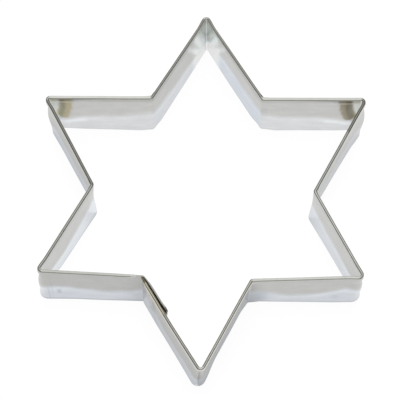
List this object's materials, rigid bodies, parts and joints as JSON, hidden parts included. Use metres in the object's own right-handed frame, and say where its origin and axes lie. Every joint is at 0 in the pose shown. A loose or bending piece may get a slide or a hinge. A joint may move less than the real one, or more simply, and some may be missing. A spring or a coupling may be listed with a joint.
{
  "type": "cookie cutter",
  "caption": "Star-shaped pastry cutter bent from one tinplate strip, with a folded rim to press on, a plain cutting edge and a spot-welded lap seam.",
  "frame": {"origin": "middle of the footprint's bounding box, on the plane of the cutting edge", "axes": "+Z from the cutting edge up to the folded rim, +Y towards the tip opposite the seam side, the star's longest way; X across the star"},
  "size_m": [0.0864, 0.1, 0.022],
  "materials": {
    "tinplate": "tin-plated mild steel, dull-bright, faint rolling lines",
    "weld_metal": "pressed spot-weld mark, duller and slightly heat-tinted"
  },
  "bodies": {
    "root": {"star_strip": "tinplate", "lower_spot_weld": "weld_metal", "upper_spot_weld": "weld_metal"}
  },
  "joints": []
}
